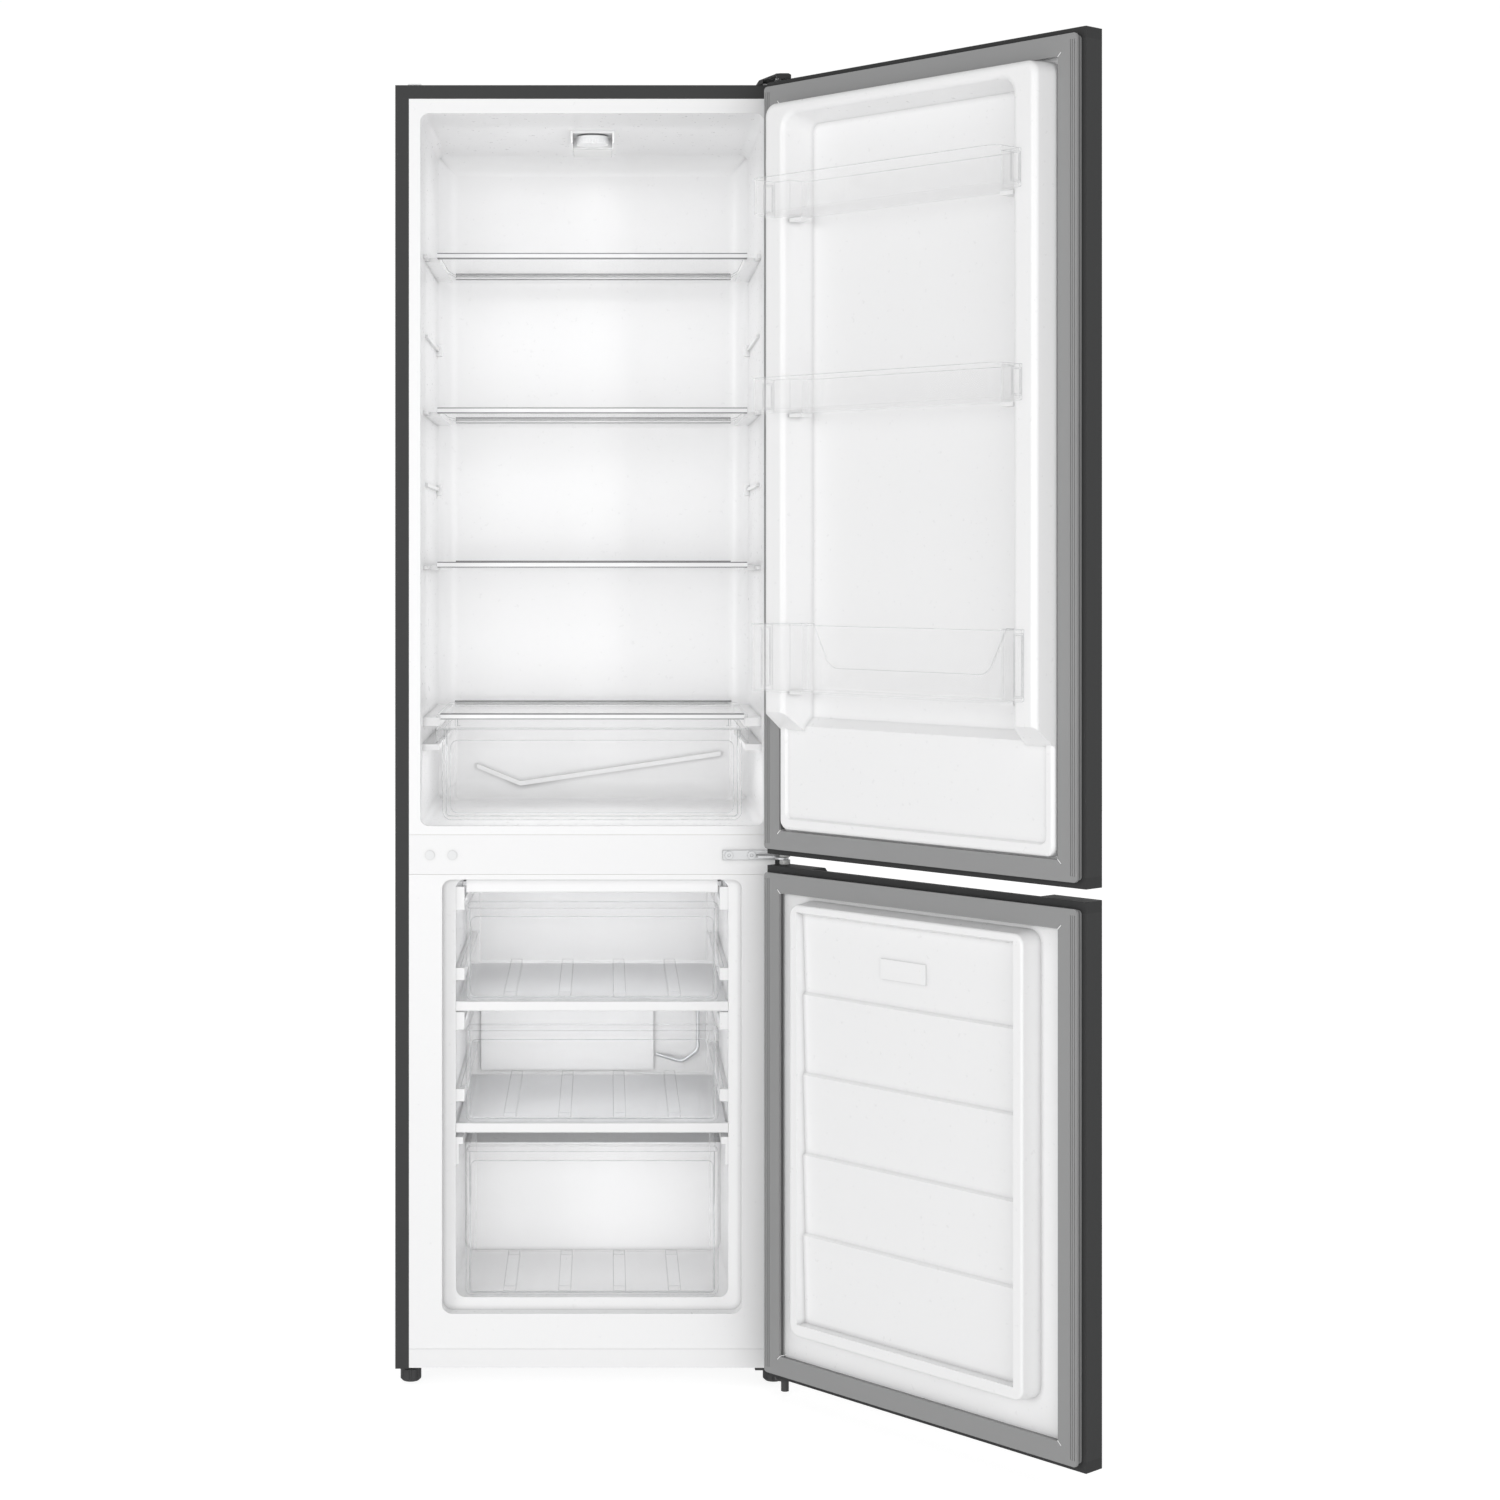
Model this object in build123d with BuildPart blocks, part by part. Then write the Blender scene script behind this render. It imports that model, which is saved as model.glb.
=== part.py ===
from build123d import *
import math
import os

os.makedirs("parts", exist_ok=True)

# Frame: X to the right, Y from the cabinet's front face to the back, Z up from the floor.
# The origin is on the floor, under the middle of the cabinet's front face. All sizes in mm.

# ---------------------------------------------------------------- driving dimensions
cab_w = 545.0  # width of the cabinet and of both doors
cab_d = 510.0  # cabinet depth without the doors
cab_z0 = 22.4  # underside of the cabinet
cab_z1 = 1800.4  # top of the cabinet
sheet = 1.0  # steel sheet
flange = 19.0  # width of the steel border on the cabinet's front
plastic = 2.0  # moulded liners

beam_z0, beam_z1 = 706.9, 762.2  # cover strip between the two compartments
plinth_z1 = 50.0  # seam between the plinth and the freezer liner

fridge_half = 238.0  # fridge opening, half width
fridge_z0, fridge_z1 = 774.0, 1761.5
fridge_y1 = 425.0  # back wall of the fridge compartment
fridge_r, fridge_back_r = 12.0, 30.0  # front corners, back corners

ring_half, ring_z0, ring_z1 = 208.0, 98.5, 700.0  # shallow step round the freezer opening
ring_depth = 24.0
freezer_half = 190.0  # freezer opening, half width
freezer_z0, freezer_z1 = 115.0, 698.0
freezer_y1 = 420.0
hump_y, hump_z = 285.0, 275.0  # step over the machine compartment
niche_y, niche_z = 345.0, 235.0  # machine compartment, open to the back

door_open = 132.0  # angle at which both doors stand
pin_x = cab_w / 2 - 7.7  # hinge axis
pin_y = -38.4
door_gap = 12.0  # inner face of a door to the cabinet's front
door_back, door_front = -door_gap, -door_gap - 33.8  # inner and outer face, door closed
fridge_door_z = (741.6, 1795.1)
freezer_door_z = (29.2, 726.0)
cap_h = 14.0  # plastic caps at the ends of each door
gasket_in, gasket_w = 5.2, 29.2  # inset from the door's edge, and width
gasket_end = 3.2  # further inset at the door's top and bottom
grip_half = 196.0  # finger grip in the caps, half length

tube_r, wire_r = 2.4, 0.8  # condenser on the back
coil_y = cab_d + 14.0
coil_half, coil_pitch, coil_runs = 205.0, 60.0, 20
coil_z0 = 330.0
coil_z1 = coil_z0 + (coil_runs - 1) * coil_pitch

mid_z = (732.5, 735.5)  # arm of the middle hinge bracket
screw_x, plug_x, screw_z = (189.6, 221.0), (-224.4, -193.3), 734.0
pin_r = 4.0
running_fit = 0.06  # radial clearance of a pin in its bushing
bush_r = 6.0
collar_r = 7.3

shelf_half, shelf_y0, shelf_y1 = 220.0, 95.0, 403.0
shelf_tops = (1577.0, 1357.5, 1138.3)
glass_t = 4.0
trim_edge = 0.8  # bevel of the trims' front edges

crisper_half, crisper_y0, crisper_y1 = 210.6, 56.0, 372.0
crisper_z0, crisper_z1 = 777.0, 906.0
crisper_rim_half = 220.0
cover_z = 925.0  # top of the glass over the crisper

drawer_half, drawer_y0, drawer_y1 = 176.0, 23.0, 388.0
short_drawer_y1 = 272.0  # the lowest drawer stops at the hump
drawer_spans = ((528.6, 666.3), (359.2, 494.9), (116.6, 326.1))
evaporator_z = (688.0, 519.0, 349.0)  # undersides of the evaporator plates
evaporator_t = 6.0
trim_y1 = 31.0  # back of the white bars in front of the evaporators
trim_spans = ((679.2, 697.8), (514.0, 527.4), (344.4, 357.8))

tray_halves = (211.0, 212.5, 215.5)  # the lower trays are a little longer
tray_back, tray_reach = 20.0, 97.0  # from the door's inner face to a tray's back and front
tray_spans = ((1599.6, 1648.4), (1338.6, 1384.0), (969.0, 1058.5))

# ---------------------------------------------------------------- reference planes
cos_open = math.cos(math.radians(door_open))
sin_open = math.sin(math.radians(door_open))
# A piece on DOOR is described as if its door were closed.
DOOR = Plane(
    origin=(
        pin_x - cos_open * pin_x + sin_open * pin_y,
        pin_y - sin_open * pin_x - cos_open * pin_y,
        0,
    ),
    x_dir=(cos_open, sin_open, 0),
    z_dir=(0, 0, 1),
)


def block(x, y, z, mode=Mode.ADD):
    """A box between two limits on each axis."""
    with Locations(((x[0] + x[1]) / 2, (y[0] + y[1]) / 2, (z[0] + z[1]) / 2)):
        Box(x[1] - x[0], y[1] - y[0], z[1] - z[0], mode=mode)


def both_sides(inner, outer, y, z, mode=Mode.ADD):
    """The same box on the left and on the right."""
    block((inner, outer), y, z, mode)
    block((-outer, -inner), y, z, mode)


def rod(x, y, z, radius, mode=Mode.ADD):
    """An upright cylinder between two heights."""
    with Locations((x, y, (z[0] + z[1]) / 2)):
        Cylinder(radius, z[1] - z[0], mode=mode)


def bolt(x, y, z, radius, length, direction, mode=Mode.ADD):
    """A cylinder from a point along a direction."""
    with Locations(Plane((x, y, z), z_dir=direction)):
        Cylinder(radius, length, align=(Align.CENTER, Align.CENTER, Align.MIN), mode=mode)


def hollow(half, z0, z1, y1, front_r, back_r, step=None, grow=0.0):
    """A compartment's form, from the front face back; step is a ledge over the machine room."""
    half, z0, z1, y1 = half + grow, z0 - grow, z1 + grow, y1 + grow
    front_r, back_r = front_r + grow, back_r + grow
    with BuildPart() as form:
        with BuildSketch(Plane.XZ):
            with Locations((0, (z0 + z1) / 2)):
                RectangleRounded(2 * half, z1 - z0, front_r)
        extrude(amount=-y1)
        with BuildSketch(Plane.XY.offset(z0)) as plan:
            with Locations((0, y1 / 2)):
                Rectangle(2 * half, y1)
            fillet(plan.vertices().group_by(Axis.Y)[-1], back_r)
        extrude(amount=z1 - z0, mode=Mode.INTERSECT)
        with BuildSketch(Plane.YZ.offset(-half)) as side:
            with Locations((y1 / 2, (z0 + z1) / 2)):
                Rectangle(y1, z1 - z0)
            fillet(side.vertices().group_by(Axis.X)[-1], back_r)
            if step:
                step_y, step_z = step[0] + grow, step[1] - grow
                with Locations(((step_y + y1) / 2, (z0 + step_z) / 2)):
                    Rectangle(y1 - step_y, step_z - z0, mode=Mode.SUBTRACT)
        extrude(amount=2 * half, mode=Mode.INTERSECT)
    return form.part


def rounded_path(points, radius):
    """Straight runs joined by tangent arcs, through the given corners."""
    corners = [Vector(*p) for p in points]
    start = corners[0]
    for before, corner, after in zip(corners, corners[1:], corners[2:]):
        back, ahead = (before - corner).normalized(), (after - corner).normalized()
        half_turn = math.radians(180 - math.degrees(math.acos(back.dot(ahead)))) / 2
        reach = radius * math.tan(half_turn)
        first, last = corner + back * reach, corner + ahead * reach
        middle = corner + (back + ahead).normalized() * (radius / math.cos(half_turn) - radius)
        if (first - start).length > 1e-6:
            Line(start, first)
        ThreePointArc(first, middle, last)
        start = last
    Line(start, corners[-1])


# ---------------------------------------------------------------- cabinet
half = cab_w / 2
inner_half = half - sheet
liner_half = half - flange
liner_z1 = cab_z1 - flange

with BuildPart() as cabinet_shell:
    block((-half, half), (0, cab_d), (cab_z0, cab_z1))
    block((-inner_half, inner_half), (sheet, cab_d), (cab_z0, cab_z1 - sheet), Mode.SUBTRACT)
    block((-liner_half, liner_half), (0, sheet), (cab_z0, liner_z1), Mode.SUBTRACT)
cabinet_shell.part.label = "cabinet_shell"
export_step(cabinet_shell.part, "parts/cabinet_shell.step")

with BuildPart() as back_panel:
    block((-inner_half, inner_half), (cab_d - sheet, cab_d), (niche_z, cab_z1 - sheet))
    # pressed stiffening fields
    for z in (520, 1010, 1500):
        block((-165, 165), (cab_d, cab_d + 1.5), (z - 190, z + 190))
    fillet(back_panel.edges().filter_by(Axis.Y).group_by(Axis.Y)[-1], 12)
    # saddles that hold the condenser's tube
    for x in (-160, 160):
        for z in (coil_z0 + 2 * coil_pitch, coil_z1 - 2 * coil_pitch):
            block((x - 9, x + 9), (cab_d, coil_y + 6), (z - 10, z + 10))
            block((x - 4, x + 4), (cab_d, coil_y + 6), (z - 4, z + 4), Mode.SUBTRACT)
            bolt(x - 10, coil_y, z, tube_r + 0.1, 20, (1, 0, 0), Mode.SUBTRACT)
back_panel.part.label = "back_panel"
export_step(back_panel.part, "parts/back_panel.step")

bottom_z = plinth_z1 + 1.5
with BuildPart() as bottom_panel:
    block((-inner_half, inner_half), (plastic, niche_y + 1.5), (plinth_z1, bottom_z))
    block((-inner_half, inner_half), (niche_y, niche_y + 1.5), (bottom_z, niche_z + 1.5))
    block((-inner_half, inner_half), (niche_y, cab_d - sheet), (niche_z, niche_z + 1.5))
    # side cheeks of the machine compartment
    both_sides(inner_half - 1.5, inner_half, (niche_y, cab_d - sheet), (plinth_z1, niche_z))
bottom_panel.part.label = "bottom_panel"
export_step(bottom_panel.part, "parts/bottom_panel.step")

fridge_room = (fridge_half, fridge_z0, fridge_z1, fridge_y1, fridge_r, fridge_back_r)
freezer_room = (freezer_half, freezer_z0, freezer_z1, freezer_y1, 14.0, 16.0, (hump_y, hump_z))
fridge_hollow = hollow(*fridge_room)
fridge_outside = hollow(*fridge_room, grow=plastic)
freezer_hollow = hollow(*freezer_room)
freezer_outside = hollow(*freezer_room, grow=plastic)

with BuildPart() as ring_hollow:
    with BuildSketch(Plane.XZ):
        with Locations((0, (ring_z0 + ring_z1) / 2)):
            RectangleRounded(2 * ring_half, ring_z1 - ring_z0, 14)
    extrude(amount=-ring_depth)

with BuildPart() as ring_outside:
    with BuildSketch(Plane.XZ):
        with Locations((0, (ring_z0 + ring_z1) / 2)):
            RectangleRounded(2 * (ring_half + plastic), ring_z1 - ring_z0 + 2 * plastic, 16)
    extrude(amount=-ring_depth - plastic)

with BuildPart() as insulation:
    block((-inner_half, inner_half), (plastic, cab_d - sheet), (bottom_z, cab_z1 - sheet))
    block((-half, half), (niche_y, cab_d), (bottom_z, niche_z + 1.5), Mode.SUBTRACT)
    add(fridge_outside, mode=Mode.SUBTRACT)
    add(freezer_outside, mode=Mode.SUBTRACT)
    add(ring_outside.part, mode=Mode.SUBTRACT)
    for x in screw_x:
        bolt(x, 0, screw_z, 2.6, 16, (0, 1, 0), Mode.SUBTRACT)
insulation.part.label = "insulation"
export_step(insulation.part, "parts/insulation.step")

spare_shelf_z = (1464.0, 1252.0)
with BuildPart() as fridge_liner:
    block((-liner_half, liner_half), (0, plastic), (beam_z1, liner_z1))
    add(fridge_outside)
    add(fridge_hollow, mode=Mode.SUBTRACT)
    # shelf ledges under the glass
    for z in [top - glass_t for top in shelf_tops]:
        both_sides(232, fridge_half, (62, 108), (z - 5, z - 0.3))
        both_sides(216.5, fridge_half, (108, 400), (z - 6, z - 0.3))
    # stops of the positions that hold no shelf
    for z in spare_shelf_z:
        both_sides(230, fridge_half, (366, 392), (z - 12, z + 4))
        both_sides(234, fridge_half, (108, 366), (z - 5, z - 0.3))
    # runners for the crisper, and ledges for its cover
    both_sides(214.5, fridge_half, (46, 380), (876, 884.2))
    both_sides(214.5, fridge_half, (60, 396), (909, cover_z - glass_t - 0.3))
    # drain gutter, falling from both ends to the drain
    with BuildSketch(Plane.XZ.offset(-fridge_y1)) as gutter:
        with BuildLine():
            Polyline(
                (-179, 829), (-112, 802), (196, 848), (196, 841), (-112, 795), (-179, 822),
                close=True,
            )
        make_face()
    extrude(amount=8.0)
fridge_liner.part.label = "fridge_liner"
export_step(fridge_liner.part, "parts/fridge_liner.step")

runner_levels = (557.0, 388.0)
runner_y0 = ring_depth + 1
with BuildPart() as freezer_liner:
    block((-liner_half, liner_half), (0, plastic), (plinth_z1, beam_z0))
    add(ring_outside.part)
    add(freezer_outside)
    add(ring_hollow.part, mode=Mode.SUBTRACT)
    add(freezer_hollow, mode=Mode.SUBTRACT)
    # runners under each drawer's side lips, and guides above them
    for z in runner_levels:
        both_sides(178, freezer_half, (runner_y0, 396), (z, z + 16.7))
        both_sides(178, freezer_half, (runner_y0, 396), (z + 100, z + 110))
    for z0, z1 in ((655, 687), (488, 512)):
        both_sides(178, freezer_half, (runner_y0, runner_y0 + 9), (z0, z1))
    both_sides(180, freezer_half, (runner_y0, 270), (328.5, 338))
    both_sides(186, freezer_half, (runner_y0, runner_y0 + 8), (300, 328.5))
    # raised field of the back wall behind the middle drawer
    block((-172, 92), (freezer_y1 - 12, freezer_y1), (360, 512))
freezer_liner.part.label = "freezer_liner"
export_step(freezer_liner.part, "parts/freezer_liner.step")

with BuildPart() as beam_cover:
    block((-liner_half, liner_half), (0, plastic), (beam_z0 + 0.3, beam_z1 - 0.3))
    # blind screw holes of the hinge, and of its place on the other side
    for x in plug_x + screw_x:
        bolt(x, -1, screw_z, 2.6, plastic + 2, (0, 1, 0), Mode.SUBTRACT)
beam_cover.part.label = "beam_cover"
export_step(beam_cover.part, "parts/beam_cover.step")

with BuildPart() as plinth:
    block((-liner_half, liner_half), (0, plastic), (23.7, plinth_z1 - 0.3))
    block((-liner_half, liner_half), (plastic, 16), (plinth_z1 - 2.3, plinth_z1 - 0.3))
    for x in (-180, -60, 60, 180):
        block((x - 1, x + 1), (plastic, 14), (25, plinth_z1 - 2.3))
plinth.part.label = "plinth"
export_step(plinth.part, "parts/plinth.step")

# ---------------------------------------------------------------- base, feet and rollers
foot_x, foot_y, foot_r = 252.5, 26.0, 14.5
stud_r = 4.0
roller_x, roller_y, roller_r, roller_w = 251.5, 470.0, 14.0, 16.0
axle_r = 3.0
rail_in = 234.0
rail_y = (18.0, cab_d - 2)

with BuildPart() as base_rails:
    for side in (-1, 1):
        near, far = sorted((side * rail_in, side * (inner_half - 0.2)))
        block((near, far), rail_y, (cab_z0, plinth_z1))
        block((near + 2, far - 2), (18, 700), (cab_z0 + 2, plinth_z1 - 2), Mode.SUBTRACT)
        # closed front end, where the foot's nut is pressed in
        block((near, far), rail_y[:1] + (48,), (cab_z0, cab_z0 + 8))
        rod(side * foot_x, foot_y, (0, 60), stud_r + running_fit, Mode.SUBTRACT)
        # roller window in the lower web
        block(
            (side * roller_x - 10, side * roller_x + 10),
            (roller_y - 18, roller_y + 18),
            (0, cab_z0 + 4),
            Mode.SUBTRACT,
        )
        # the roller's axle hangs from the rail by two ears
        bolt(side * roller_x - 13, roller_y, roller_r, axle_r, 26, (1, 0, 0))
        for ear in (-12.5, 10.5):
            x = side * roller_x + ear
            block((x, x + 2), (roller_y - 8, roller_y + 8), (roller_r - 7, cab_z0))
base_rails.part.label = "base_rails"
export_step(base_rails.part, "parts/base_rails.step")

for name, side in (("foot_left", -1), ("foot_right", 1)):
    with BuildPart(Plane((side * foot_x, foot_y, 0))) as foot:
        rod(0, 0, (0, 18), foot_r)
        chamfer(foot.edges().filter_by(GeomType.CIRCLE).group_by(Axis.Z)[0], 3)
        fillet(foot.edges().filter_by(GeomType.CIRCLE).group_by(Axis.Z)[-1], 1.5)
        # finger notches round the pad
        with PolarLocations(foot_r + 1.2, 8):
            Cylinder(2.4, 40, mode=Mode.SUBTRACT)
        rod(0, 0, (17, 46), stud_r)
    foot.part.label = name
    export_step(foot.part, f"parts/{name}.step")

for name, side in (("roller_left", -1), ("roller_right", 1)):
    with BuildPart(Plane((side * roller_x, roller_y, roller_r), z_dir=(1, 0, 0))) as roller:
        Cylinder(roller_r, roller_w)
        chamfer(roller.edges().filter_by(GeomType.CIRCLE), 1.5)
        Cylinder(axle_r + running_fit, roller_w + 2, mode=Mode.SUBTRACT)
    roller.part.label = name
    export_step(roller.part, f"parts/{name}.step")

# ---------------------------------------------------------------- machine compartment
plate_z = 30.0
pump_x, pump_y = -60.0, 428.0
mount_dx, mount_dy = 76.0, 52.0

with BuildPart() as compressor_plate:
    block((-rail_in, rail_in), (niche_y + 4, cab_d - 4), (plate_z - 2, plate_z))
    block((-rail_in, rail_in), (niche_y + 4, niche_y + 6), (plate_z, plate_z + 12))
    for dx in (-mount_dx, mount_dx):
        for dy in (-mount_dy, mount_dy):
            rod(pump_x + dx, pump_y + dy, (plate_z, plate_z + 20), 3.0)
compressor_plate.part.label = "compressor_plate"
export_step(compressor_plate.part, "parts/compressor_plate.step")

with BuildPart() as compressor_mounts:
    for dx in (-mount_dx, mount_dx):
        for dy in (-mount_dy, mount_dy):
            rod(pump_x + dx, pump_y + dy, (plate_z, plate_z + 12), 9.0)
            rod(pump_x + dx, pump_y + dy, (plate_z - 1, plate_z + 13), 3.05, Mode.SUBTRACT)
compressor_mounts.part.label = "compressor_mounts"
export_step(compressor_mounts.part, "parts/compressor_mounts.step")

with BuildPart() as compressor:
    with BuildSketch(Plane((pump_x, pump_y, 0), x_dir=(1, 0, 0), z_dir=(0, -1, 0))):
        with BuildLine():
            Line((0, 46), (48, 46))
            ThreePointArc((48, 46), (63, 53), (70, 70))
            Line((70, 70), (70, 118))
            Line((70, 118), (73, 118))
            Line((73, 118), (73, 124))
            Line((73, 124), (70, 124))
            Line((70, 124), (70, 160))
            ThreePointArc((70, 160), (58, 190), (30, 203))
            Line((30, 203), (0, 203))
            Line((0, 203), (0, 46))
        make_face()
    revolve(axis=Axis((pump_x, pump_y, 0), (0, 0, 1)))
    # feet that sit on the rubber mounts
    for dx in (-mount_dx, mount_dx):
        block(
            (pump_x + dx - 10, pump_x + dx + 10),
            (pump_y - mount_dy - 12, pump_y + mount_dy + 12),
            (plate_z + 12, plate_z + 14.5),
        )
        for dy in (-mount_dy, mount_dy):
            rod(pump_x + dx, pump_y + dy, (0, 60), 3.2, Mode.SUBTRACT)
    block((pump_x - 70, pump_x + 70), (pump_y - 20, pump_y + 20), (plate_z + 12, 50))
    # pipe stubs
    bolt(pump_x - 60, pump_y, 140, 4.0, 34, (-1, 0, 0))
    bolt(pump_x - 50, pump_y + 40, 100, 3.0, 34, (-1, 0, 0))
compressor.part.label = "compressor"
export_step(compressor.part, "parts/compressor.step")

with BuildPart() as terminal_cover:
    block((pump_x + 73.5, pump_x + 108), (pump_y - 30, pump_y + 30), (76, 150))
    fillet(terminal_cover.edges().filter_by(Axis.X), 6)
    block((pump_x + 70, pump_x + 106), (pump_y - 27, pump_y + 27), (79, 147), Mode.SUBTRACT)
    bolt(pump_x + 108, pump_y, 92, 5.0, 12, (1, 0, 0))
terminal_cover.part.label = "terminal_cover"
export_step(terminal_cover.part, "parts/terminal_cover.step")

with BuildPart() as evaporation_pan:
    block((pump_x - 105, pump_x + 105), (pump_y - 66, pump_y + 68), (203.5, 230))
    fillet(evaporation_pan.edges().filter_by(Axis.Z), 16)
    offset(amount=-2.0, openings=evaporation_pan.faces().sort_by(Axis.Z)[-1])
evaporation_pan.part.label = "evaporation_pan"
export_step(evaporation_pan.part, "parts/evaporation_pan.step")

turns = [
    (side * (1 if run % 2 == 0 else -1) * coil_half, coil_y, coil_z0 + run * coil_pitch)
    for run in range(coil_runs)
    for side in (-1, 1)
]
lead = [(-coil_half, cab_d - 16, 226.0), (-coil_half, coil_y, 226.0)]  # from the machine room
with BuildPart() as condenser_tube:
    with BuildLine() as coil_path:
        rounded_path(lead + turns, coil_pitch / 2)
    with BuildSketch(Plane(coil_path.line @ 0, z_dir=coil_path.line % 0)):
        Circle(tube_r)
    sweep()
condenser_tube.part.label = "condenser_tube"
export_step(condenser_tube.part, "parts/condenser_tube.step")

with BuildPart() as condenser_wires:
    for layer in (-1, 1):
        for i in range(15):
            wire_y = coil_y + layer * (tube_r + wire_r + 0.05)
            rod(-140 + 20 * i, wire_y, (coil_z0 - 12, coil_z1 + 12), wire_r)
condenser_wires.part.label = "condenser_wires"
export_step(condenser_wires.part, "parts/condenser_wires.step")

# ---------------------------------------------------------------- hinges
top_plate_z = (cab_z1 + 0.3, cab_z1 + 3.3)
low_plate_z = (19.0, 22.0)

arm_x = (pin_x - 13, pin_x + 5)  # the arms that carry the pins
arm_end = (pin_x - 4, pin_y)
with BuildPart() as top_hinge_bracket:
    block((237, 268), (8, 56), top_plate_z)
    block(arm_x, (pin_y, 8), top_plate_z)
    rod(*arm_end, top_plate_z, 9)
    rod(pin_x, pin_y, (1700, 1900), pin_r + 0.02, Mode.SUBTRACT)
    for y in (22, 44):
        rod(247, y, (1700, 1900), 3.0, Mode.SUBTRACT)
top_hinge_bracket.part.label = "top_hinge_bracket"
export_step(top_hinge_bracket.part, "parts/top_hinge_bracket.step")

cover_top = cab_z1 + 8.0
with BuildPart() as top_hinge_cover:
    with BuildSketch(Plane.XZ.offset(52)):
        with BuildLine():
            Polyline(
                (227, cab_z1 + 0.1), (231, cab_z1 + 5.8), (258, cover_top),
                (269, cover_top), (272.4, cover_top - 2.4), (272.4, cab_z1 + 0.1), close=True,
            )
        make_face()
    extrude(amount=-112)
    chamfer(top_hinge_cover.edges().group_by(Axis.Z)[-1].filter_by(Axis.X), 3)
    block((236, 270.4), (-50, 58), (cab_z1, cab_z1 + 4.2), Mode.SUBTRACT)
    # the front corner is cut off
    with BuildSketch(Plane.XY.offset(cab_z1)):
        with BuildLine():
            Polyline((220, 4), (227, 4), (251, -45), (254, -60), (220, -60), close=True)
        make_face()
    extrude(amount=12, mode=Mode.SUBTRACT)
    rod(pin_x, pin_y, (1790, cab_z1 + 6.2), 7, Mode.SUBTRACT)
    for y in (22, 44):
        rod(247, y, (1790, cab_z1 + 5.4), 6, Mode.SUBTRACT)
top_hinge_cover.part.label = "top_hinge_cover"
export_step(top_hinge_cover.part, "parts/top_hinge_cover.step")

with BuildPart() as middle_hinge_bracket:
    block((181, 258), (-2.5, -0.1), (727.5, 741.0))
    block((228, 268), (-26, -0.1), mid_z)
    block(arm_x, (pin_y, -26), mid_z)
    rod(*arm_end, mid_z, 9)
    for x in screw_x:
        bolt(x, -4, screw_z, 2.7, 8, (0, 1, 0), Mode.SUBTRACT)
    rod(pin_x, pin_y, (700, 800), pin_r + 0.02, Mode.SUBTRACT)
middle_hinge_bracket.part.label = "middle_hinge_bracket"
export_step(middle_hinge_bracket.part, "parts/middle_hinge_bracket.step")

with BuildPart() as bottom_hinge_bracket:
    block((226, 268), (4, 66), low_plate_z)
    block(arm_x, (pin_y, 4), low_plate_z)
    rod(*arm_end, low_plate_z, 9)
    rod(pin_x, pin_y, (0, 60), pin_r + 0.02, Mode.SUBTRACT)
    rod(foot_x, foot_y, (0, 60), stud_r + 0.6, Mode.SUBTRACT)
    rod(244, 58, (0, 60), 2.6, Mode.SUBTRACT)
bottom_hinge_bracket.part.label = "bottom_hinge_bracket"
export_step(bottom_hinge_bracket.part, "parts/bottom_hinge_bracket.step")

with BuildPart() as hinge_pins:
    rod(pin_x, pin_y, (1783, top_plate_z[1] + 1.5), pin_r)
    rod(pin_x, pin_y, (top_plate_z[1], top_plate_z[1] + 1.5), pin_r + 1.5)
    rod(pin_x, pin_y, (714, 753.5), pin_r)
    rod(pin_x, pin_y, (7, 41), pin_r)
    # knurled foot of the lower pin
    rod(pin_x, pin_y, (3.8, 18.9), 5.4)
hinge_pins.part.label = "hinge_pins"
export_step(hinge_pins.part, "parts/hinge_pins.step")

with BuildPart() as hinge_screws:
    for x in screw_x:
        bolt(x, -2.6, screw_z, 2.5, 18, (0, 1, 0))
        bolt(x, -2.6, screw_z, 6.0, 2.2, (0, -1, 0))
        bolt(x, -4.0, screw_z, 2.0, 2.0, (0, -1, 0), Mode.SUBTRACT)
    for y in (22, 44):
        rod(247, y, (cab_z1, top_plate_z[1]), 2.9)
        rod(247, y, (top_plate_z[1], top_plate_z[1] + 1.6), 5.5)
    rod(244, 58, (low_plate_z[0] - 2.2, low_plate_z[0]), 5.5)
    rod(244, 58, (low_plate_z[0], cab_z0), 2.5)
hinge_screws.part.label = "hinge_screws"
export_step(hinge_screws.part, "parts/hinge_screws.step")

with BuildPart() as blanking_plugs:
    for x in plug_x:
        bolt(x, -1.6, screw_z, 6.1, 1.6, (0, 1, 0))
        bolt(x, 0, screw_z, 2.5, 2.0, (0, 1, 0))
    block((-255, -237), (2, 44), (cab_z1, cab_z1 + 2.2))
blanking_plugs.part.label = "blanking_plugs"
export_step(blanking_plugs.part, "parts/blanking_plugs.step")

# ---------------------------------------------------------------- thermostat
dial_y, dial_r = 175.0, 23.3
dial_z = (1743.2, 1755.2)
with BuildPart() as thermostat_housing:
    block((-31.5, 31.5), (148, 290), (1757.0, fridge_z1))
    both_sides(28.5, 31.5, (148, 290), (1742.7, 1757))
    block((-28.5, 28.5), (202, 205), (1742.7, 1757))
    rod(0, dial_y, (1700, 1760.5), 3.0 + running_fit, Mode.SUBTRACT)
thermostat_housing.part.label = "thermostat_housing"
export_step(thermostat_housing.part, "parts/thermostat_housing.step")

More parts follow.
